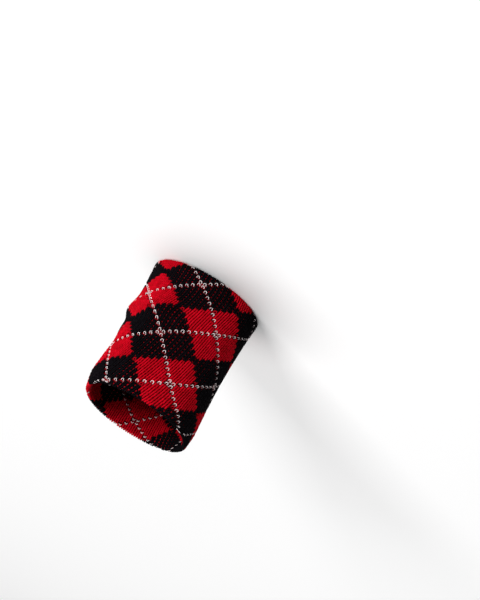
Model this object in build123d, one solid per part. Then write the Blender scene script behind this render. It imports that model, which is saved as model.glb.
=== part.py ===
from build123d import *
import os

# A knitted wristband: one tube of patterned knitting, turned in on itself so that it
# is two layers thick, with its two cut ends joined by a linked seam on the inside.
# It stands on its hand-end fold. +Z runs up the forearm, towards the elbow, X is
# across the wrist and -Y is the side over the back of the hand.
# The origin is the centre of the base. All sizes are in millimetres.

# Driving dimensions, of the band as it sits on a wrist
band_height = 92.0
waist_half_width = 34.8     # half the band's outer width, at its narrowest
flare = 2.45                # how much wider each end is than the waist, on each side
base_half_depth = 29.0      # half the band's outer depth at the hand-end fold
top_half_depth = 34.6       # the same at the arm-end fold, because the arm is thicker
lean = 2.0                  # the centre line moves this far each way along X

layer = 1.5                 # thickness of one layer of knitting
gap = 0.5                   # space between the layers, where the elastic threads lie
fold_height = 3.0           # height of the knitting that makes one turned fold
fold_radius = 1.3           # rounding of a fold's two edges
fold_solid = 1.6            # depth of knitting under the gap at a fold

seam_height = 2.4           # width of the linked seam, along the band
seam_proud = 0.7            # how far the seam stands into the wrist opening

elastic_width = 0.4         # covered elastic thread
elastic_count = 14

wall = 2 * layer + gap
wall_middle = wall / 2
sections = 7                # sections that carry each layer's loft
mid_height = band_height / 2


def height_share(z):
    """Place along the band, from -1 at its base to 1 at its top."""
    return (z - mid_height) / mid_height


def half_width(z):
    """Outer half width: narrowest at the waist, growing with the square of the distance."""
    return waist_half_width + flare * height_share(z) ** 2


def half_depth(z):
    """Outer half depth: grows evenly from the base to the top."""
    share = (height_share(z) + 1) / 2
    return base_half_depth + (top_half_depth - base_half_depth) * share


def centre_x(z):
    """The centre line leans evenly from one side at the base to the other at the top."""
    return -lean * height_share(z)


def oval(z, inset):
    """The band's outline at a height, moved in from the outer face."""
    outline = Ellipse(half_width(z) - inset, half_depth(z) - inset)
    return Pos(centre_x(z), 0, z) * outline


def lofted(z_low, z_high, inset):
    """A solid plug that follows the band's outline between two heights."""
    step = (z_high - z_low) / (sections - 1)
    return loft([oval(z_low + step * n, inset) for n in range(sections)])


def layer_tube(z_low, z_high, outer_inset, thickness):
    """One layer of knitting: an outer plug less an inner plug."""
    return lofted(z_low, z_high, outer_inset) - lofted(z_low, z_high, outer_inset + thickness)


def ring(z, height, outer_inset, inner_inset):
    """A straight-sided oval ring standing on the plane at height z."""
    return extrude(oval(z, outer_inset) - oval(z, inner_inset), amount=height)


def turned_fold(z_flat, direction):
    """The knitting turned over at one end: rounded outside, open towards the gap.

    z_flat is the flat edge that it rests on and direction is 1 for the base and
    -1 for the top. The oval of the height where the layers begin is used all through,
    so that the fold meets them edge to edge."""
    z_join = z_flat + direction * fold_height
    section = oval(z_join, 0) - oval(z_join, wall)
    body = extrude(section, amount=-direction * fold_height)
    rims = body.edges().filter_by_position(Axis.Z, z_flat - 0.01, z_flat + 0.01)
    body = fillet(rims, fold_radius)
    slot = oval(z_join, layer) - oval(z_join, layer + gap)
    return body - extrude(slot, amount=-direction * (fold_height - fold_solid))


def elastic_ring(z):
    """One covered elastic thread, laid round the band between its layers, of square section."""
    return ring(z, elastic_width, wall_middle - elastic_width / 2, wall_middle + elastic_width / 2)


layers_low = fold_height
layers_high = band_height - fold_height
seam_low = mid_height - seam_height / 2
seam_high = mid_height + seam_height / 2

outer_layer = layer_tube(layers_low, layers_high, 0, layer)
inner_layer_hand_half = layer_tube(layers_low, seam_low, layer + gap, layer)
inner_layer_arm_half = layer_tube(seam_high, layers_high, layer + gap, layer)
hand_end_fold = turned_fold(0, 1)
arm_end_fold = turned_fold(band_height, -1)
closing_seam = ring(seam_low, seam_height, layer + gap, wall + seam_proud)

# The elastic threads are spread evenly, half a step clear of the folds
elastic_step = (layers_high - layers_low) / elastic_count
elastic_threads = Compound(children=[
    elastic_ring(layers_low + elastic_step * (n + 0.5)) for n in range(elastic_count)])

nodes = {
    "outer_layer": outer_layer,
    "hand_end_fold": hand_end_fold,
    "arm_end_fold": arm_end_fold,
    "inner_layer_hand_half": inner_layer_hand_half,
    "inner_layer_arm_half": inner_layer_arm_half,
    "closing_seam": closing_seam,
    "elastic_threads": elastic_threads,
}

os.makedirs("parts", exist_ok=True)
for name, solid in nodes.items():
    export_step(solid, f"parts/{name}.step")
    size = solid.bounding_box().size
    print(f"{name}: {solid.volume:.0f} mm3, {size.X:.1f} x {size.Y:.1f} x {size.Z:.1f} mm")
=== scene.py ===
# %% [markdown]
# # A knitted argyle wristband
#
# The real band is one tube of patterned knitting. It is turned in on itself, so it is
# two layers thick with a rounded fold at each end, and a seam inside joins the tube's
# two cut ends. Knitting gets its look from its loops, so every stitch here is its own
# loop of yarn. A picture of stitches on a smooth tube would be quicker, but its edges
# and folds would look printed.

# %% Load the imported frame
import math

import bpy
import numpy as np
from mathutils import Matrix, Vector


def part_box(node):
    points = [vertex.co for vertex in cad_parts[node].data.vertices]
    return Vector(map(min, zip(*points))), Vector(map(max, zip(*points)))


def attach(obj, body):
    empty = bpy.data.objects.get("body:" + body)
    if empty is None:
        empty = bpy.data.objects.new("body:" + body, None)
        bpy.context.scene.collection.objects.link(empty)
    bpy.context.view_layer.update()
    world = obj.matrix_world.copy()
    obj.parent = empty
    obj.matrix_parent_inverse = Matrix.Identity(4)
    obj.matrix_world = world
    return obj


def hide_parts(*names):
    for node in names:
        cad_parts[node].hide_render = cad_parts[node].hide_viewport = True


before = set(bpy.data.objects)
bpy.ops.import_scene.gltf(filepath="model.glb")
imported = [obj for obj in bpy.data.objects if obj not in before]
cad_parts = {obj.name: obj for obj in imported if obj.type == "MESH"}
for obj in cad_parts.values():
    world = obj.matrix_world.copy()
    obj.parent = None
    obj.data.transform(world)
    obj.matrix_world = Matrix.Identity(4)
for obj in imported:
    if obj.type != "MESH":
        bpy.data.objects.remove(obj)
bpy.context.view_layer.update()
chance = np.random.default_rng(72)
print("frame nodes:", ", ".join(sorted(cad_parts)))

# %% [markdown]
# ## The band's size, read from the frame
#
# The folds, the seam and the inner layer each have a box in the frame. Their widths and
# depths give the oval outline at the base, the waist and the top, so nothing has to be
# measured twice. All lengths are in metres.

# %% Sizes
base_low, base_high = (np.array(c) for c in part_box("hand_end_fold"))
top_low, top_high = (np.array(c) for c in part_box("arm_end_fold"))
seam_low, seam_high = (np.array(c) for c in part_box("closing_seam"))
lining_low, lining_high = (np.array(c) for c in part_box("inner_layer_hand_half"))

base_size = base_high - base_low
top_size = top_high - top_low
seam_size = seam_high - seam_low
lining_inset = (base_size[0] - (lining_high - lining_low)[0]) / 2
middle = top_high[2] / 2              # height of the band's waist
layer = 0.0015                        # thickness of one layer of knitting
wall = lining_inset + layer           # both layers and the space between them
fold_radius = wall / 2
straight = middle - fold_radius       # from the waist to where a fold begins
to_fold = 1 - base_size[2] / middle   # share of the way up where the folds' boxes end

waist_half_width = seam_size[0] / 2 + lining_inset
waist_half_depth = seam_size[1] / 2 + lining_inset
flare = (base_size[0] / 2 - waist_half_width) / to_fold ** 2
deepening = (top_size[1] - base_size[1]) / 4 / to_fold
lean = (base_low + base_high)[0] / 2 / to_fold
print(f"waist {2000 * waist_half_width:.1f} x {2000 * waist_half_depth:.1f} mm, "
      f"flare {1000 * flare:.2f}, lean {1000 * lean:.2f}, wall {1000 * wall:.1f} mm")

# %% [markdown]
# ## Camera
#
# The camera comes first, so that every later choice can be judged from it. It is a long
# lens, a little above the band, looking at the side that covers the back of the hand.
# The band stands on its hand end, and the camera is rolled so that the hand end points
# up and to the right in the picture. The band isn't in the middle of the picture, so
# the camera is turned by two small angles as well.

# %% Camera
camera_azimuth = math.radians(-2.96)
camera_elevation = math.radians(21.3)
camera_roll = math.radians(-146.88)
camera_distance = 0.7279
band_left_of_centre = math.radians(3.27)
band_below_centre = math.radians(2.61)

back = np.array([math.sin(camera_azimuth) * math.cos(camera_elevation),
                 -math.cos(camera_azimuth) * math.cos(camera_elevation),
                 math.sin(camera_elevation)])
level = np.cross(-back, [0, 0, 1])
level /= np.linalg.norm(level)
upright = np.cross(level, -back)
picture_right = math.cos(camera_roll) * level + math.sin(camera_roll) * upright
picture_up = math.cos(camera_roll) * upright - math.sin(camera_roll) * level


def turned_towards(axes, sight):
    """The camera's axes after the smallest turn that takes its own forward axis to sight.

    Rows of axes are right, up and forward. This is Rodrigues' formula for the turn
    between two unit vectors."""
    swing = np.cross([0, 0, 1], sight)
    twist = np.array([[0, -swing[2], swing[1]], [swing[2], 0, -swing[0]], [-swing[1], swing[0], 0]])
    return (np.eye(3) + twist + twist @ twist / (1 + sight[2])) @ axes


sight = np.array([-math.tan(band_left_of_centre), -math.tan(band_below_centre), 1.0])
sight /= np.linalg.norm(sight)
right, up, forward = turned_towards(np.array([picture_right, picture_up, -back]), sight)
waist_centre = np.array([0, 0, middle])
place = waist_centre - np.array([right, up, forward]).T @ sight * camera_distance

camera_data = bpy.data.cameras.new("camera")
camera_data.sensor_width = 36
camera_data.lens = 72
camera_data.clip_start = 0.01
camera = bpy.data.objects.new("camera", camera_data)
turn_matrix = np.eye(4)
turn_matrix[:3, 0], turn_matrix[:3, 1], turn_matrix[:3, 2] = right, up, -forward
turn_matrix[:3, 3] = place
camera.matrix_world = Matrix(turn_matrix.tolist())
bpy.context.scene.collection.objects.link(camera)
bpy.context.scene.camera = camera
print("camera at", np.round(place, 3))

# %% [markdown]
# ## The shape of the cloth
#
# One function carries everything: it says where a point of the cloth is in space, from
# how far round the band it is, how far along the cloth, and how deep below its face.
# "Along" runs over a fold and back down the inside, as the real tube does, so a stitch
# placed near the edge goes over the fold with no special case.

# %% Cloth shape
puffs = (                 # round the band, up from the waist, spread round, spread up, height
    (-0.26, -0.0135, 0.05, 0.0065, 0.0020),
    (-0.26, -0.0098, 0.05, 0.0040, 0.0012),
    (-0.25, 0.004, 0.06, 0.005, 0.0004),
    (-0.26, 0.013, 0.06, 0.009, -0.0008),
    (-0.25, 0.046, 0.10, 0.007, -0.0028),
    (0.25, 0.046, 0.08, 0.007, -0.0018),
)


def puffing(turn, height):
    """How far the cloth stands out of the plain shape: a sum of soft round bumps."""
    total = 0
    for round_at, up_at, round_spread, up_spread, rise in puffs:
        away = (turn - round_at + 0.5) % 1 - 0.5
        total = total + rise * np.exp(-(away / round_spread) ** 2 - ((height - up_at) / up_spread) ** 2)
    return total


def cloth_point(turn, along, depth=0.0):
    """A point of the cloth, as x, y, z in the last axis.

    The path along the cloth is a straight line, a half circle over the fold and a
    straight line back inside. Round the band it is an oval whose half width grows with
    the square of the height from the waist and whose half depth grows evenly. The angle
    is corrected by a quarter of the oval's flatness times the sine of twice the angle,
    so that equal shares of a turn are equal lengths of cloth."""
    turn, along, depth = np.broadcast_arrays(turn, along, depth)
    side = np.sign(along)
    past = np.abs(along) - straight
    bend = np.clip(past / fold_radius, 0, math.pi)
    inside = np.maximum(past - math.pi * fold_radius, 0)
    height = np.where(past < 0, along, side * (straight + (fold_radius - depth) * np.sin(bend) - inside))
    inward = fold_radius * (1 - np.cos(bend)) + depth * np.cos(bend) - puffing(turn, height)
    share = height / middle
    half_width = waist_half_width + flare * share ** 2
    half_depth = waist_half_depth + deepening * share
    flatness = (half_width ** 2 - half_depth ** 2) / (half_width ** 2 + half_depth ** 2)
    angle = 2 * math.pi * turn
    angle = angle - flatness / 4 * np.sin(2 * angle)
    return np.stack([-lean * share - (half_width - inward) * np.sin(angle),
                     -(half_depth - inward) * np.cos(angle),
                     middle + height], axis=-1)


# %% [markdown]
# ## The knitting chart
#
# A knitter's chart says which yarn makes each stitch. Columns of stitches are wales and
# rows are courses. A black diamond is every stitch whose steps across and up from the
# diamond's centre add up to half the repeat or less, and black diamonds stand in a
# square grid, corner to corner. Red fills the rest. Where two black diamonds meet tip
# to tip, one stitch beside the tip is red. White stitches lie on diagonals of their
# own, one stitch wide, through every diamond's centre.

# %% Chart
wales = 72
repeat = 18
first_course, last_course = -46, 44
hand_fold_course, arm_fold_course = -22.0, 19.5
black, red, white = 0, 1, 2


def yarn_at(wale, course):
    """Which yarn makes a stitch, from its steps to the nearest black diamond's centre."""
    across = (wale + repeat / 2) % repeat - repeat / 2
    upward = (course + repeat / 2) % repeat - repeat / 2
    yarn = np.where(np.abs(across) + np.abs(upward) <= repeat / 2, black, red)
    yarn = np.where((across == 0.5) & (upward == 0.5 - repeat / 2), red, yarn)
    return np.where((np.abs(across) == np.abs(upward)), white, yarn)


def stands_alone(wale, course):
    """Whether a stitch is white, or red with no red stitch before or after it in its column."""
    yarn, before, after = (yarn_at(wale, course + step) for step in (0, -1, 1))
    return (yarn == white) | (yarn == red) & (before != red) & (after != red)


wale_grid, course_grid = np.meshgrid(np.arange(wales) + 0.5, np.arange(first_course, last_course) + 0.5,
                                     indexing="ij")
stitch_wale, stitch_course = wale_grid.ravel(), course_grid.ravel()
stitch_yarn = yarn_at(stitch_wale, stitch_course)
print("stitches:", len(stitch_yarn), "black, red, white:", np.bincount(stitch_yarn))

# %% [markdown]
# ## How the knitting lies on the wrist
#
# The band was pulled on by hand, so its rows aren't level: they slope round the wrist,
# and its columns lean. A wave round the band with one crest gives the slope, a second
# smaller one with two crests gives the sag between, and the columns' lean is a straight
# term and a small curve. In four places the cloth is dragged a little further, as a soft
# pull on the stitches near it. Inside, the slope fades out, because the seam is level.

# %% Lay of the stitches
course_pitch = 0.0023            # between rows at the waist
pitch_drift = 5e-7               # rows are this much further apart with each row up
pitch_easing = -1.5e-7           # and closer together towards both ends
waist_row = 0.0036               # height of the chart's middle row above the waist
slope_sine, slope_sine_growth = 0.0037, 0.00024
slope_cosine, slope_cosine_growth = -0.0030, 0.00017
sag_sine, sag_cosine = 0.0010, 0.0014
front_wale, wale_lean, wale_curve = 3.96, 0.192, 0.0040
pulls = (                        # column, row, spread across, spread up, pulled across, pulled up
    (-6.0, -6.0, 8.0, 4.0, -1.5, -1.0),
    (14.0, -18.0, 9.0, 6.0, 1.5, -0.5),
    (15.0, 15.0, 4.5, 4.5, 0.6, -0.5),
    (-11.5, -5.5, 3.0, 3.0, -1.4, -0.2),
)
seam_gap = seam_size[2] / 2      # the layers stop this far from the seam's middle

tube_half = straight + math.pi * fold_radius + straight - seam_gap


def row_height(course):
    """Mean distance along the cloth of a row on the outside: a cubic in the row's number."""
    return waist_row + course_pitch * course + pitch_drift * course ** 2 + pitch_easing * course ** 3


def nearness(wale, course, column, row, across_spread, up_spread):
    """1 at a place on the band, falling away as a soft round bump."""
    away = (wale - column + wales / 2) % wales - wales / 2
    return np.exp(-(away / across_spread) ** 2 - ((course - row) / up_spread) ** 2)


def pulled(wale, course):
    """A wale and a course after the pulls: each drags the stitches near it, most at its middle."""
    new_wale, new_course = wale, course
    for column, row, across_spread, up_spread, across, upward in pulls:
        near = nearness(wale, course, column, row, across_spread, up_spread)
        new_wale, new_course = new_wale + across * near, new_course + upward * near
    return new_wale, new_course


def cloth_place(wale, course):
    """Where a wale and a course cross, as turn and distance along the cloth.

    Outside, the rows follow the cubic. Past a fold they are evenly spaced up to the
    seam, and the slope round the band fades to nothing over the same rows."""
    wale, course = pulled(wale, course)
    outer = np.clip(course, hand_fold_course, arm_fold_course)
    past = course - outer
    hand_pitch = (tube_half + row_height(hand_fold_course)) / (hand_fold_course - first_course)
    arm_pitch = (tube_half - row_height(arm_fold_course)) / (last_course - arm_fold_course)
    along = row_height(outer) + past * np.where(past < 0, hand_pitch, arm_pitch)
    fade = 1 - np.where(past < 0, -past / (hand_fold_course - first_course),
                        past / (last_course - arm_fold_course))
    angle = 2 * math.pi * wale / wales
    slope = ((slope_sine + slope_sine_growth * outer) * np.sin(angle)
             + (slope_cosine + slope_cosine_growth * outer) * (np.cos(angle) - 1)
             + sag_sine * np.sin(2 * angle) + sag_cosine * (np.cos(2 * angle) - 1))
    along = along + np.clip(fade, 0, 1) * slope
    leaning = wale - front_wale - wale_lean * outer - wale_curve * outer ** 2
    return leaning / wales, along


def on_cloth(wale, course, depth):
    """The point at a wale, a course and a depth below the cloth's face."""
    turn, along = cloth_place(wale, course)
    return cloth_point(turn, along, depth)


edge_rows = np.array([first_course, hand_fold_course, 0, arm_fold_course, last_course])
print("rows at", np.round(1000 * cloth_place(0.0, edge_rows)[1], 1), "mm along the cloth")

# %% [markdown]
# ## A yarn is a tube along a path
#
# Stitches, loose strands and sewing thread are all the same job: a few rings of points
# round a path. All stitches are made at once, as one array with an axis for the stitch,
# one for the ring and one for the points of a ring. The tube carries its own map, in
# millimetres along the yarn and turns round it, so that twist follows the yarn.

# %% Tubes
sides = 6
inward_step = 0.0003     # a short step into the cloth, which gives its inward direction


def tube_rings(path, inward, radius, flat=1.0):
    """Rings of points round each path.

    path and inward have axes strand, ring, xyz. Each ring lies across the path's
    tangent: one of its axes is the tangent crossed with the cloth's inward direction
    and the other is square to both. flat squeezes a ring along the second axis."""
    tangent = np.gradient(path, axis=1)
    tangent /= np.linalg.norm(tangent, axis=-1, keepdims=True)
    across = np.cross(tangent, inward)
    across /= np.linalg.norm(across, axis=-1, keepdims=True)
    outward = np.cross(across, tangent)
    angle = 2 * math.pi * np.arange(sides) / sides
    ring = (np.cos(angle)[:, None] * across[:, :, None, :]
            + flat * np.sin(angle)[:, None] * outward[:, :, None, :])
    return path[:, :, None, :] + radius[..., None, None] * ring


def tube_mesh(name, rings, tone, closed=False):
    """A mesh of tubes: quads between rings, and a flat face on each end of an open tube.

    tone is one number for each tube, kept as a face attribute, and the map's u is the
    length along the tube in millimetres and v is the share of the way round it."""
    strands, steps, around, _ = rings.shape
    step_ids = np.arange(steps if closed else steps - 1)
    start = (np.arange(strands) * steps * around)[:, None, None]
    near, far = step_ids[:, None] * around, ((step_ids + 1) % steps)[:, None] * around
    this, following = np.arange(around)[None, :], (np.arange(around)[None, :] + 1) % around
    quads = np.stack(np.broadcast_arrays(start + near + this, start + far + this,
                                         start + far + following, start + near + following), axis=-1)
    centre = rings.mean(axis=2)
    lengths = np.linalg.norm(np.diff(centre, axis=1, append=centre[:, :1]), axis=-1)[:, :len(step_ids)]
    reach = np.concatenate([np.zeros((strands, 1)), np.cumsum(lengths, axis=1)], axis=1) * 1000
    u_near, u_far = reach[:, :-1, None], reach[:, 1:, None]
    v_this, v_next = this[None] / around, (this[None] + 1) / around
    u = np.stack(np.broadcast_arrays(u_near, u_far, u_far, u_near), axis=-1)
    u = np.broadcast_to(u, quads.shape)
    v = np.broadcast_to(np.stack(np.broadcast_arrays(v_this, v_this, v_next, v_next), axis=-1), quads.shape)
    loops = quads.reshape(-1)
    maps = np.stack([u.reshape(-1), v.reshape(-1)], axis=-1)
    sizes = np.full(quads.size // 4, 4)
    tones = np.repeat(tone, quads.shape[1] * around)
    if not closed:
        first = (start[:, 0] + np.arange(around)).reshape(-1)
        last = (start[:, 0] + (steps - 1) * around + np.arange(around)[::-1]).reshape(-1)
        loops = np.concatenate([loops, first, last])
        maps = np.concatenate([maps, np.zeros((2 * len(first), 2))])
        sizes = np.concatenate([sizes, np.full(2 * strands, around)])
        tones = np.concatenate([tones, tone, tone])
    mesh = bpy.data.meshes.new(name)
    mesh.vertices.add(rings.size // 3)
    mesh.vertices.foreach_set("co", rings.reshape(-1).astype(np.float32))
    mesh.loops.add(len(loops))
    mesh.loops.foreach_set("vertex_index", loops.astype(np.int32))
    mesh.polygons.add(len(sizes))
    mesh.polygons.foreach_set("loop_start", (np.cumsum(sizes) - sizes).astype(np.int32))
    mesh.polygons.foreach_set("use_smooth", np.ones(len(sizes), dtype=bool))
    mesh.uv_layers.new(name="yarn").data.foreach_set("uv", maps.reshape(-1).astype(np.float32))
    mesh.attributes.new("tone", "FLOAT", "FACE").data.foreach_set("value", tones.astype(np.float32))
    mesh.update(calc_edges=True)
    mesh.validate()
    return mesh


def add_piece(mesh, material, slot_name, *nodes):
    """Links a mesh as a piece that rides on the band, with its material.

    nodes are the frame's nodes that it stands for."""
    piece = bpy.data.objects.new(mesh.name, mesh)
    bpy.context.scene.collection.objects.link(piece)
    mesh.materials.append(material)
    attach(piece, "root")
    if nodes:
        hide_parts(*nodes)
    triangles = sum(len(p.vertices) - 2 for p in mesh.polygons)
    print(f"{piece.name}: {triangles} triangles")
    return piece


# %% [markdown]
# ## Shader groups for yarn
#
# Two effects are shared by every yarn. Twist makes the plies that wind round a yarn and
# the fine fibres that follow them. Dye makes one ball of yarn a little uneven, over the
# band and from stitch to stitch. Each is built once and placed in each material.

# %% Group helpers
def new_group(name, inputs, outputs):
    """A shader group with named number inputs and outputs, and its in and out nodes."""
    group = bpy.data.node_groups.new(name, "ShaderNodeTree")
    for label, value in inputs.items():
        socket = group.interface.new_socket(label, in_out="INPUT", socket_type="NodeSocketFloat")
        socket.default_value = value
    for label in outputs:
        group.interface.new_socket(label, in_out="OUTPUT", socket_type="NodeSocketFloat")
    return group, group.nodes.new("NodeGroupInput"), group.nodes.new("NodeGroupOutput")


def math_node(tree, operation, first, second=None, third=None):
    """A Math node whose inputs are sockets or plain numbers; returns its output."""
    node = tree.nodes.new("ShaderNodeMath")
    node.operation = operation
    for index, value in enumerate((first, second, third)):
        if value is None:
            continue
        if isinstance(value, bpy.types.NodeSocket):
            tree.links.new(value, node.inputs[index])
        else:
            node.inputs[index].default_value = value
    return node.outputs[0]


def noise_node(tree, vector, scale, detail=2.0):
    """A Noise Texture fed by a vector socket; returns its factor."""
    node = tree.nodes.new("ShaderNodeTexNoise")
    tree.links.new(vector, node.inputs["Vector"])
    node.inputs["Scale"].default_value = scale
    node.inputs["Detail"].default_value = detail
    return node.outputs["Factor"] if "Factor" in node.outputs else node.outputs["Fac"]


# %% Twist group
fibres_per_mm, fibres_round = 1.2, 24.0     # how fine the fibres are along the yarn and round it
ply_rounding = 0.6                          # below 1, the plies are fat and their grooves are thin


def build_twist():
    """Plies are a sine of the length along the yarn plus the turn round it.

    Fibres are noise stretched along the same slant. Height is both together, and Groove
    is 1 between the plies and 0 on top of them; the materials paint shade with it."""
    group, given, result = new_group("yarn twist", {"Lay mm": 2.4, "Plies": 2.0, "Fibre": 0.35},
                                     ["Height", "Groove"])
    uv = group.nodes.new("ShaderNodeUVMap")
    uv.uv_map = "yarn"
    split = group.nodes.new("ShaderNodeSeparateXYZ")
    group.links.new(uv.outputs["UV"], split.inputs[0])
    per_lay = math_node(group, "DIVIDE", split.outputs["X"], given.outputs["Lay mm"])
    wound = math_node(group, "ADD", per_lay, split.outputs["Y"])
    phase = math_node(group, "MULTIPLY", math_node(group, "MULTIPLY", wound, given.outputs["Plies"]),
                      2 * math.pi)
    ply = math_node(group, "MULTIPLY_ADD", math_node(group, "SINE", phase), 0.5, 0.5)
    slant = group.nodes.new("ShaderNodeCombineXYZ")
    group.links.new(math_node(group, "MULTIPLY", split.outputs["X"], fibres_per_mm), slant.inputs["X"])
    group.links.new(math_node(group, "MULTIPLY", wound, fibres_round), slant.inputs["Y"])
    fibre = noise_node(group, slant.outputs[0], scale=1.0, detail=3.0)
    rounded = math_node(group, "POWER", ply, ply_rounding)
    group.links.new(math_node(group, "MULTIPLY_ADD", fibre, given.outputs["Fibre"], rounded),
                    result.inputs["Height"])
    group.links.new(math_node(group, "SUBTRACT", 1.0, rounded), result.inputs["Groove"])
    return group


# %% Dye group
patches_per_metre = 60.0


def build_dye():
    """Unevenness of the dye, from 0 to 1: slow noise over the band, and each stitch's own tone."""
    group, given, result = new_group("yarn dye", {"Patch": 0.5, "Stitch": 0.5}, ["Tone"])
    coordinate = group.nodes.new("ShaderNodeTexCoord")
    patch = noise_node(group, coordinate.outputs["Object"], scale=patches_per_metre)
    own = group.nodes.new("ShaderNodeAttribute")
    own.attribute_name = "tone"
    patches = math_node(group, "MULTIPLY", patch, given.outputs["Patch"])
    group.links.new(math_node(group, "MULTIPLY_ADD", own.outputs["Fac"], given.outputs["Stitch"], patches),
                    result.inputs["Tone"])
    return group


twist_group, dye_group = build_twist(), build_dye()
print("shader groups:", twist_group.name, "and", dye_group.name)

# %% [markdown]
# ## Yarn materials
#
# Wool-like yarn is matt. Its loose fibres catch light at a grazing angle, which is the
# shader's sheen. The colour runs between a deep and a bright shade, by the dye's tone,
# and painted shade makes it darker in the grooves between plies.

# %% Yarn material
specular_level, sheen_roughness = 0.03, 0.45
# The first number is painted shade: how far the colour is darkened in the grooves between plies, where
# shade falls.
painted_groove_shade, shade_lift = 0.35, 0.15     # how much a groove darkens the yarn, and a lift for all of it
relief_depth = 0.0002


def yarn_material(name, deep, bright, sheen, sheen_tint, lay=2.4, plies=2.0, roughness=0.9, bump=0.25):
    """A yarn's material, from its deepest and brightest shades."""
    material = bpy.data.materials.new(name)
    material.use_nodes = True
    tree = material.node_tree
    shader = tree.nodes["Principled BSDF"]
    shader.inputs["Roughness"].default_value = roughness
    shader.inputs["Specular IOR Level"].default_value = specular_level
    shader.inputs["Sheen Weight"].default_value = sheen
    shader.inputs["Sheen Roughness"].default_value = sheen_roughness
    shader.inputs["Sheen Tint"].default_value = (*sheen_tint, 1)
    twist = tree.nodes.new("ShaderNodeGroup")
    twist.node_tree = twist_group
    twist.inputs["Lay mm"].default_value = lay
    twist.inputs["Plies"].default_value = plies
    dye = tree.nodes.new("ShaderNodeGroup")
    dye.node_tree = dye_group
    ramp = tree.nodes.new("ShaderNodeValToRGB")
    ramp.color_ramp.elements[0].color = (*deep, 1)
    ramp.color_ramp.elements[1].color = (*bright, 1)
    # Painted shade: the Groove mask darkens the base colour between the plies.
    shade = math_node(tree, "MULTIPLY_ADD", twist.outputs["Groove"], -painted_groove_shade, dye.outputs["Tone"])
    tree.links.new(math_node(tree, "ADD", shade, shade_lift), ramp.inputs["Fac"])
    tree.links.new(ramp.outputs["Color"], shader.inputs["Base Color"])
    relief = tree.nodes.new("ShaderNodeBump")
    relief.inputs["Strength"].default_value = bump
    relief.inputs["Distance"].default_value = relief_depth
    tree.links.new(twist.outputs["Height"], relief.inputs["Height"])
    tree.links.new(relief.outputs["Normal"], shader.inputs["Normal"])
    return material


red_yarn = yarn_material("red yarn", (0.25, 0.0003, 0.003), (0.49, 0.0008, 0.010), 0.02, (1.0, 0.2, 0.25))
black_yarn = yarn_material("black yarn", (0.0012, 0.0008, 0.0012), (0.0034, 0.0026, 0.0038),
                           0.0, (0.6, 0.6, 0.7))
white_yarn = yarn_material("white yarn", (0.58, 0.47, 0.48), (0.92, 0.84, 0.84), 0.1, (1.0, 1.0, 1.0))
yarn_names = {black: "black", red: "red", white: "white"}
yarn_materials = {black: black_yarn, red: red_yarn, white: white_yarn}

# %% [markdown]
# ## The stitches
#
# A loop is bent from a few points: the root lies deep between two columns, the yarn
# comes up to the face at the bottom of the stitch, its two sides spread as they go up,
# and its head goes down behind the next stitch. Seen on the face that is a V, and each
# V sits in the one before it. The other half of a loop is its mirror image. White yarn
# is thinner and dives sooner, so a white stitch is a short V on its own.

# %% Loops
black_loop = np.array([            # across in columns, up in rows, depth in millimetres
    (-0.47, -0.42, 1.15),
    (-0.16, -0.42, 0.64),
    (-0.20, -0.12, 0.44),
    (-0.24, 0.30, 0.46),
    (-0.27, 0.64, 0.82),
    (0.00, 0.84, 1.25),
])
red_loop = np.array([
    (-0.47, -0.42, 1.15),
    (-0.18, -0.42, 0.62),
    (-0.23, -0.12, 0.44),
    (-0.26, 0.30, 0.46),
    (-0.28, 0.64, 0.80),
    (0.00, 0.84, 1.25),
])
lone_loop = np.array([
    (-0.26, -0.44, 1.30),
    (-0.05, -0.50, 0.34),
    (-0.17, -0.34, 0.24),
    (-0.28, -0.18, 0.42),
    (-0.34, -0.04, 1.20),
    (0.00, 0.06, 1.50),
])
usual_loop = {black: black_loop, red: red_loop, white: lone_loop}
yarn_radius = {black: 0.00056, red: 0.00055, white: 0.00019}
lone_radius = {black: 0.00030, red: 0.00030, white: 0.00019}     # a stitch with no neighbour of its colour
give = {black: 0.08, red: 0.03, white: 0.05}     # how much stretching draws a loop's sides together
across_unevenness, rise_unevenness = 0.012, 0.03       # in columns, and as a share of a row
depth_unevenness, radius_unevenness = 0.00003, 0.04    # in metres, and as a share of the radius


def loops(wale, course, yarn, half, thickness, openness):
    """Rings of the loops of one yarn, one loop for each stitch, from the points of half a loop.

    openness, from 0 to 1, is how far the cloth is stretched sideways there: it draws a
    loop's two sides together, which opens the gap to its neighbours."""
    mirrored = half[-2::-1] * (-1, 1, 1)
    side, rise, depth = np.concatenate([half, mirrored]).T[:, None, :]
    uneven = chance.normal(0, 1, (3, len(wale), 1))
    across = side * (1 - give[yarn] * openness[:, None]) + across_unevenness * uneven[0]
    upward = rise * (1 + rise_unevenness * uneven[1])
    place_wale, place_course = wale[:, None] + across, course[:, None] + upward
    path_depth = 0.001 * depth + depth_unevenness * uneven[2]
    path = on_cloth(place_wale, place_course, path_depth)
    inward = on_cloth(place_wale, place_course, path_depth + inward_step) - path
    radius = thickness * (1 + radius_unevenness * uneven[0]) * np.ones_like(side)
    return tube_rings(path, inward, radius)


bunched = (               # column, row, spread across, spread up, strength
    (1.0, -12.0, 4.5, 2.8, 0.9),
    (0.5, -5.5, 4.5, 3.0, 1.0),
    (0.5, 6.8, 4.0, 1.8, 0.7),
    (-5.0, 14.5, 6.0, 5.0, 0.7),
    (8.0, -18.0, 5.0, 4.0, 0.6),
)
usual_openness = 0.38
hand_end_gain, hand_end_row, hand_end_rows = 0.12, -14, 3     # starts at this row and grows over so many
arm_end_gain, arm_end_row, arm_end_rows = 0.45, 9, 7


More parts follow.
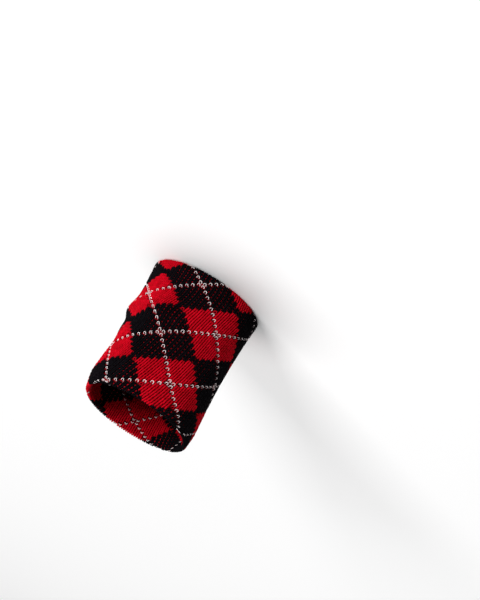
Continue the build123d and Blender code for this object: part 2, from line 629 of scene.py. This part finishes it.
def openness_at(wale, course):
    """How far the cloth is stretched, from 0 to 1.

    It grows towards both ends, most at the wide arm end, and soft round places where the
    cloth is bunched up are less open."""
    total = (usual_openness + hand_end_gain * np.clip((hand_end_row - course) / hand_end_rows, 0, 1)
             + arm_end_gain * np.clip((course - arm_end_row) / arm_end_rows, 0, 1))
    for column, row, across_spread, up_spread, strength in bunched:
        total = total * (1 - strength * nearness(wale, course, column, row, across_spread, up_spread))
    return np.clip(total, 0, 1)


stitch_along = cloth_place(stitch_wale, stitch_course)[1]
half_over_fold = straight + fold_radius * math.pi / 2
outside, arm_half = np.abs(stitch_along) < half_over_fold, stitch_along > 0
zones = {"outside_hand_half": outside & ~arm_half, "outside_arm_half": outside & arm_half,
         "inside_hand_half": ~outside & ~arm_half, "inside_arm_half": ~outside & arm_half}
lone = stands_alone(stitch_wale, stitch_course)
for yarn, name in yarn_names.items():
    for where, chosen in zones.items():
        groups = [(lone, lone_loop, lone_radius[yarn]), (~lone, usual_loop[yarn], yarn_radius[yarn])]
        rings = []
        for kind, half, thickness in groups:
            mine = (stitch_yarn == yarn) & chosen & kind
            at = stitch_wale[mine], stitch_course[mine]
            rings.append(loops(*at, yarn, half, thickness, openness_at(*at)))
        rings = np.concatenate(rings)
        mesh = tube_mesh(f"{name}_stitches_{where}", rings, chance.uniform(0, 1, len(rings)))
        add_piece(mesh, yarn_materials[yarn], f"{name}_yarn")

# %% [markdown]
# ## Red strands behind the black
#
# Where red isn't knitted it is carried behind the black stitches. It shows between the
# columns as a line of small red dots, one to a row. Each dot is a short arch of strand
# that rises between two columns and dives behind them.

# %% Carried strands
arch_steps = np.linspace(-0.5, 0.5, 5)
arch_span = 0.62                            # in columns
arch_shift, arch_slant = 0.06, 0.10         # in rows
arch_depth = 0.00122                        # of an arch's two ends
least_rise, rise_gain = 0.00001, 0.00017    # half an arch's height in tight cloth, and more when open
least_radius, radius_gain = 0.00052, 0.00024
arch_flatness = 0.3


def arches(wale, course, openness):
    """Arches centred on the gap between two columns, highest in the middle as a cosine."""
    place_wale = wale[:, None] + arch_span * arch_steps[None, :]
    place_course = course[:, None] + arch_shift + arch_slant * np.sin(math.pi * arch_steps)[None, :]
    rise = least_rise + rise_gain * openness[:, None]
    depth = arch_depth - rise * (1 + np.cos(2 * math.pi * arch_steps))[None, :]
    path = on_cloth(place_wale, place_course, depth)
    inward = on_cloth(place_wale, place_course, depth + inward_step) - path
    radius = (least_radius + radius_gain * openness[:, None]) * np.ones_like(depth)
    return tube_rings(path, inward, radius, flat=arch_flatness)


gap_wale = stitch_wale + 0.5
left_yarn, right_yarn = stitch_yarn, yarn_at((stitch_wale + 1) % wales, stitch_course)
carried = (left_yarn == black) & (right_yarn == black)
for where, chosen in zones.items():
    mine = carried & chosen
    rings = arches(gap_wale[mine], stitch_course[mine], openness_at(gap_wale[mine], stitch_course[mine]))
    mesh = tube_mesh(f"carried_red_strands_{where}", rings, chance.uniform(0, 1, mine.sum()))
    add_piece(mesh, red_yarn, "red_yarn")

# %% [markdown]
# ## The ground of the cloth
#
# Behind the loops the knitting is closed by the tops of loops and by strands that never
# reach the face. One thin sheet stands for them. It runs the tube's whole length, over
# both folds, and ends at the seam.

# %% Ground cloth
def grid_mesh(name, points):
    """A mesh of quads on a grid of points whose first axis goes round the band."""
    count, steps, _ = points.shape
    near = np.arange(count)[:, None] * steps
    far = ((np.arange(count) + 1) % count)[:, None] * steps
    step = np.arange(steps - 1)[None, :]
    faces = np.stack([near + step, far + step, far + step + 1, near + step + 1], axis=-1).reshape(-1, 4)
    mesh = bpy.data.meshes.new(name)
    mesh.from_pydata(points.reshape(-1, 3).tolist(), [], faces.tolist())
    mesh.polygons.foreach_set("use_smooth", np.ones(len(faces), dtype=bool))
    return mesh


ground_depth, ground_thickness = 0.00128, 0.0002
grid_step = 0.5            # two faces to a column and to a row
red_shade = 0.9            # how far up its ramp the ground is behind red stitches
ground_wales = np.arange(0, wales, grid_step)
ground_rows = np.linspace(first_course, last_course, round((last_course - first_course) / grid_step) + 1)
ground_points = on_cloth(ground_wales[:, None], ground_rows[None, :], ground_depth)
ground_mesh = grid_mesh("ground_cloth", ground_points)
face_wale, face_row = np.meshgrid(np.floor(ground_wales) + 0.5,
                                  np.floor(ground_rows[:-1] + grid_step / 2) + 0.5, indexing="ij")
red_behind = (yarn_at(face_wale, face_row) == red) & ~stands_alone(face_wale, face_row)
behind = np.where(red_behind, red_shade, 0.0).reshape(-1)
ground_mesh.attributes.new("tone", "FLOAT", "FACE").data.foreach_set("value", behind.astype(np.float32))

ground_material = yarn_material("ground of the cloth", (0.004, 0.0008, 0.001), (0.38, 0.0008, 0.006),
                                0.0, (1, 1, 1))
ground = add_piece(ground_mesh, ground_material, "patterned_knit", "outer_layer", "hand_end_fold",
                   "arm_end_fold", "inner_layer_hand_half", "inner_layer_arm_half")
thicken = ground.modifiers.new("thickness", "SOLIDIFY")
thicken.thickness = ground_thickness
thicken.offset = 0

# %% [markdown]
# ## Elastic threads
#
# Covered elastic lies between the layers and makes the band grip. It is hidden in the
# finished band, so it is plain: fourteen rings of round thread.

# %% Elastic
elastic_low, elastic_high = (np.array(c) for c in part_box("elastic_threads"))
elastic_count = 14
elastic_radius = 0.0002
elastic_points = 96        # round one ring
elastic_heights = np.linspace(elastic_low[2] + elastic_radius, elastic_high[2] - elastic_radius,
                              elastic_count) - middle
ring_turns = np.linspace(0, 1, elastic_points, endpoint=False)
elastic_path = cloth_point(ring_turns[None, :], elastic_heights[:, None], fold_radius)
elastic_in = cloth_point(ring_turns[None, :], elastic_heights[:, None],
                         fold_radius + inward_step) - elastic_path
elastic_rings = tube_rings(elastic_path, elastic_in, np.full(elastic_path.shape[:2], elastic_radius))
elastic_material = yarn_material("covered elastic", (0.5, 0.47, 0.42), (0.75, 0.72, 0.66), 0.1, (1, 1, 1),
                                 lay=0.8, plies=1.0, roughness=0.7)
elastic_mesh = tube_mesh("covered_elastic_threads", elastic_rings, chance.uniform(0, 1, elastic_count),
                         closed=True)
add_piece(elastic_mesh, elastic_material, "elastic", "elastic_threads")

# %% [markdown]
# ## The closing seam
#
# The tube's two ends are linked together inside. The ends roll into a low ridge, and a
# thread is sewn over it, one stitch to a column.

# %% Seam
seam_turns = np.linspace(0, 1, 2 * wales, endpoint=False)
seam_sink = 0.0012                          # how deep in the inner layer the seam's foot lies
ridge_rise, ridge_wave = 0.0015, 0.00012    # the ridge's height above that foot, and its small wave
sewn_rise, sewn_reach, sewn_radius = 0.0018, 0.92, 0.00016
ridge_points, sewn_points = 11, 8           # across the ridge, and along the thread to a column


def seam_point(turn, share, lift):
    """A point of the seam: share runs from -1 to 1 across it, and lift is towards the wrist."""
    height = seam_gap * share
    swell = np.sqrt(np.clip(1 - share ** 2, 0, 1))
    inward = wall - seam_sink + lift * swell
    half_width = waist_half_width - inward
    half_depth = waist_half_depth - inward
    angle = 2 * math.pi * turn
    return np.stack(np.broadcast_arrays(-half_width * np.sin(angle), -half_depth * np.cos(angle),
                                        middle + height), axis=-1)


ridge_share = -np.cos(np.linspace(0, math.pi, ridge_points))
ridge_turns = seam_turns[:, None]
ridge_lift = ridge_rise + ridge_wave * np.sin(2 * math.pi * wales * ridge_turns)
ridge_front = seam_point(ridge_turns, ridge_share[None, :], ridge_lift)
add_piece(grid_mesh("seam_ridge", ridge_front[:, ::-1]), black_yarn, "seam_thread", "closing_seam")

seam_material = yarn_material("seam thread", (0.006, 0.005, 0.006), (0.02, 0.018, 0.02), 0.1, (1, 1, 1),
                              lay=0.6, plies=3.0, roughness=0.6)
sewn_steps = np.linspace(0, 1, sewn_points * wales, endpoint=False)[None, :]
sewn_share = sewn_reach * np.sin(2 * math.pi * wales * sewn_steps)
sewn_path = seam_point(sewn_steps, sewn_share, sewn_rise)
sewn_in = seam_point(sewn_steps, sewn_share, sewn_rise + inward_step) - sewn_path + np.array([0, 0, 1e-6])
sewn_rings = tube_rings(sewn_path, -sewn_in, np.full(sewn_path.shape[:2], sewn_radius))
add_piece(tube_mesh("seam_thread", sewn_rings, np.array([0.5]), closed=True), seam_material, "seam_thread")

# %% [markdown]
# ## What the cloth is
#
# The ground and its stitches are one sheet of cloth: a knitted tube that measures about
# 80 mm across when it lies flat and 185 mm from end to end, stretched over a wrist.

# %% [markdown]
# ## Floor, light and surroundings
#
# The band stands on a plain pale floor. A large soft light comes from the left of the
# picture, low down, and lights the cloth. A larger one overhead lights the floor. Dim
# surroundings fill the shadows, and only the camera sees them as a pale backdrop.

# %% Stage and lights
floor_mesh = bpy.data.meshes.new("floor")
reach = 5.0
floor_mesh.from_pydata([(-reach, -reach, 0), (reach, -reach, 0), (reach, reach, 0), (-reach, reach, 0)], [],
                       [(0, 1, 2, 3)])
floor = bpy.data.objects.new("floor", floor_mesh)
bpy.context.scene.collection.objects.link(floor)
floor_material = bpy.data.materials.new("pale floor")
floor_material.use_nodes = True
floor_shader = floor_material.node_tree.nodes["Principled BSDF"]
floor_shader.inputs["Base Color"].default_value = (0.96, 0.96, 0.96, 1)
floor_shader.inputs["Roughness"].default_value = 0.8
floor_mesh.materials.append(floor_material)

fill_level, backdrop_level = 0.15, 0.95      # how strongly the surroundings light, and how pale they look
world = bpy.data.worlds.new("surroundings")
world.use_nodes = True
world.node_tree.nodes["Background"].inputs["Color"].default_value = (1, 1, 1, 1)
seen = world.node_tree.nodes.new("ShaderNodeLightPath").outputs["Is Camera Ray"]
strength = math_node(world.node_tree, "MULTIPLY_ADD", seen, backdrop_level - fill_level, fill_level)
world.node_tree.links.new(strength, world.node_tree.nodes["Background"].inputs["Strength"])
bpy.context.scene.world = world


def soft_light(name, towards, distance, size, power):
    """A square area light, placed in a direction from the band and facing it."""
    direction = np.array(towards) / np.linalg.norm(towards)
    data = bpy.data.lights.new(name, "AREA")
    data.size = size
    data.energy = power
    lamp = bpy.data.objects.new(name, data)
    lamp.location = waist_centre + direction * distance
    lamp.rotation_mode = "QUATERNION"
    lamp.rotation_quaternion = Vector(-direction).to_track_quat("-Z", "Y")
    bpy.context.scene.collection.objects.link(lamp)


soft_light("key", towards=(0.69, -0.71, 0.16), distance=4.0, size=2.0, power=255)
soft_light("overhead", towards=(0.1, 0.2, 1.0), distance=4.0, size=3.0, power=132)
bpy.context.scene.view_settings.view_transform = "Standard"
